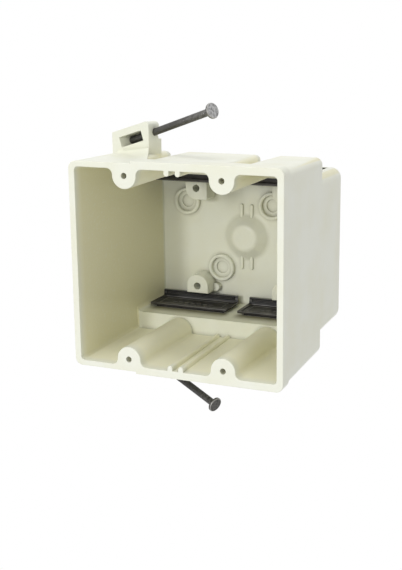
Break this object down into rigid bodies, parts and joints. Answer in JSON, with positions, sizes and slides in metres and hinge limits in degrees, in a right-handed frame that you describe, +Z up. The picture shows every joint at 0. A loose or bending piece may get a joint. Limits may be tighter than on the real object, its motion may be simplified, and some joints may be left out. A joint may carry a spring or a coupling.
{
  "type": "switch box",
  "caption": "Two-gang nail-on wall box: one stepped plastic moulding with captive slanting nails and hinged cable clamps, open at the front for two wiring devices.",
  "frame": {"origin": "The middle of the four device screw holes, in the plane of the mouth.", "axes": "+X to the right across the mouth, away from the stud side; +Y back into the wall, away from the person; +Z up as the box is mounted."},
  "size_m": [0.1016, 0.0889, 0.1434],
  "materials": {
    "ivory_plastic": "moulded ivory thermoset plastic, smooth and slightly satin",
    "black_plastic": "moulded black thermoplastic with a slight sheen",
    "nail_steel": "drawn steel wire, dull dark grey with a brighter head"
  },
  "bodies": {
    "box": {"box_body": "ivory_plastic"},
    "clamp_bottom_left": {"clamp_bottom_left": "black_plastic"},
    "clamp_bottom_right": {"clamp_bottom_right": "black_plastic"},
    "clamp_top_left": {"clamp_top_left": "black_plastic"},
    "clamp_top_right": {"clamp_top_right": "black_plastic"},
    "nail_top": {"nail_top": "nail_steel"},
    "nail_bottom": {"nail_bottom": "nail_steel"}
  },
  "joints": [
    {"name": "clamp_bottom_left_pivot", "type": "hinge", "parent": "box", "child": "clamp_bottom_left", "pos_m": [-0.0238, 0.0834, -0.0358], "axis": [-1, 0, 0], "range_deg": [0, 18], "stiffness_Nm_per_rad": 0.00097},
    {"name": "clamp_bottom_right_pivot", "type": "hinge", "parent": "box", "child": "clamp_bottom_right", "pos_m": [0.0238, 0.0834, -0.0358], "axis": [-1, 0, 0], "range_deg": [0, 18], "stiffness_Nm_per_rad": 0.00097},
    {"name": "clamp_top_left_pivot", "type": "hinge", "parent": "box", "child": "clamp_top_left", "pos_m": [-0.0238, 0.0834, 0.0358], "axis": [1, 0, 0], "range_deg": [-10.5, 7.5], "stiffness_Nm_per_rad": 0.00097, "springref_deg": -10.5},
    {"name": "clamp_top_right_pivot", "type": "hinge", "parent": "box", "child": "clamp_top_right", "pos_m": [0.0238, 0.0834, 0.0358], "axis": [1, 0, 0], "range_deg": [-10.5, 7.5], "stiffness_Nm_per_rad": 0.00097, "springref_deg": -10.5},
    {"name": "nail_top_slide", "type": "slide", "parent": "box", "child": "nail_top", "axis": [-0.8844, 0.3607, -0.2963], "range_m": [0, 0.038]},
    {"name": "nail_bottom_slide", "type": "slide", "parent": "box", "child": "nail_bottom", "axis": [-0.8844, 0.3607, 0.2963], "range_m": [0, 0.038]}
  ]
}
